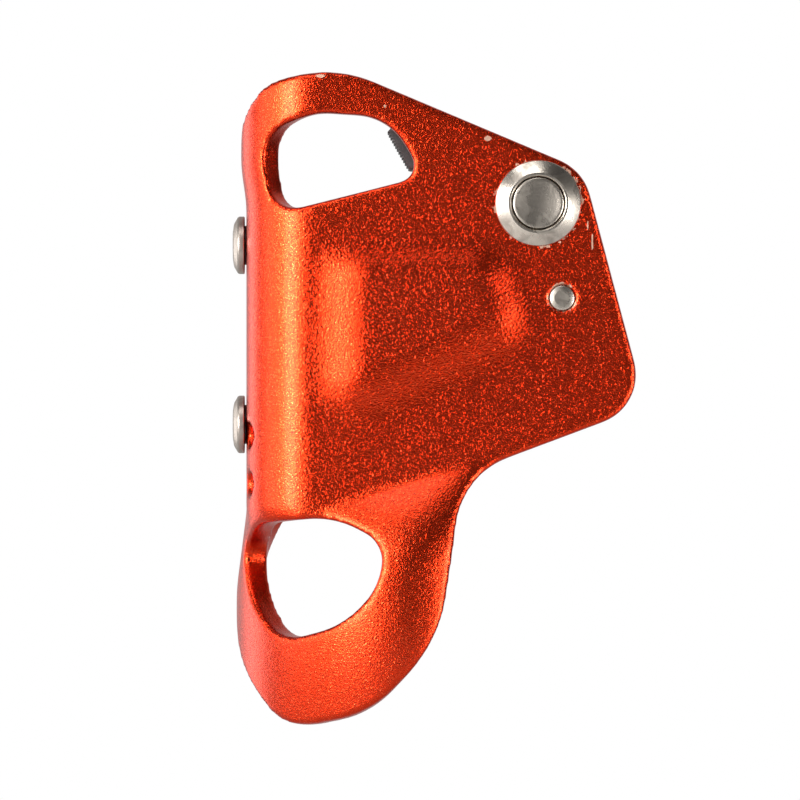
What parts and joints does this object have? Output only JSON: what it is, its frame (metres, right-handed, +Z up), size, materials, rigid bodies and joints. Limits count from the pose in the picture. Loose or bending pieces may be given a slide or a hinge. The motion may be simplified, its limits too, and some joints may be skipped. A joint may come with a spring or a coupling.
{
  "type": "chest ascender",
  "caption": "Rope clamp worn on the chest: folded frame with two attachment eyes, a sprung toothed cam and a safety catch.",
  "frame": {"origin": "centre of the lower attachment eye, in the plane of the back plate's rear face", "axes": "+X to the right of the back view, away from the rope channel; +Y from the back to the cam side; +Z up along the rope"},
  "size_m": [0.0696, 0.0315, 0.1121],
  "materials": {
    "anodised_frame": "orange-red anodised, fine wavy grain",
    "stainless": "satin stainless steel",
    "cam_steel": "bead-blasted plated steel",
    "spring_steel": "drawn spring wire",
    "bronze": "plain bearing bronze",
    "blackened_steel": "blackened steel, satin",
    "dark_anodised": "dark grey anodised, matte"
  },
  "bodies": {
    "frame_body": {"frame": "anodised_frame", "wear_plate": "stainless", "wear_plate_rivet_upper": "stainless", "wear_plate_rivet_lower": "stainless", "rivet_washer_upper": "blackened_steel", "rivet_washer_lower": "blackened_steel", "cam_axle": "stainless", "axle_collar": "stainless", "thrust_washer_rear": "bronze", "thrust_washer_front": "bronze", "spring_sleeve": "blackened_steel", "cam_spring": "spring_steel", "stop_pin": "stainless"},
    "cam_body": {"cam": "cam_steel", "cam_bush": "bronze", "catch_pin": "stainless", "catch_washer": "bronze", "catch_clip": "blackened_steel", "catch_spring": "spring_steel"},
    "catch_body": {"catch_lever": "cam_steel", "catch_bush": "bronze", "catch_thumb_tab": "dark_anodised", "tab_rivet_upper": "stainless", "tab_rivet_lower": "stainless"}
  },
  "joints": [
    {"name": "cam_pivot", "type": "hinge", "parent": "frame_body", "child": "cam_body", "pos_m": [0.0384, 0.0117, 0.0643], "axis": [0, -1, 0], "range_deg": [0, 46], "stiffness_Nm_per_rad": 0.08, "springref_deg": -68.75},
    {"name": "catch_pivot", "type": "hinge", "parent": "cam_body", "child": "catch_body", "pos_m": [0.017, 0.0198, 0.055], "axis": [0, -1, 0], "range_deg": [0, 16], "stiffness_Nm_per_rad": 0.01, "springref_deg": -45.84}
  ]
}
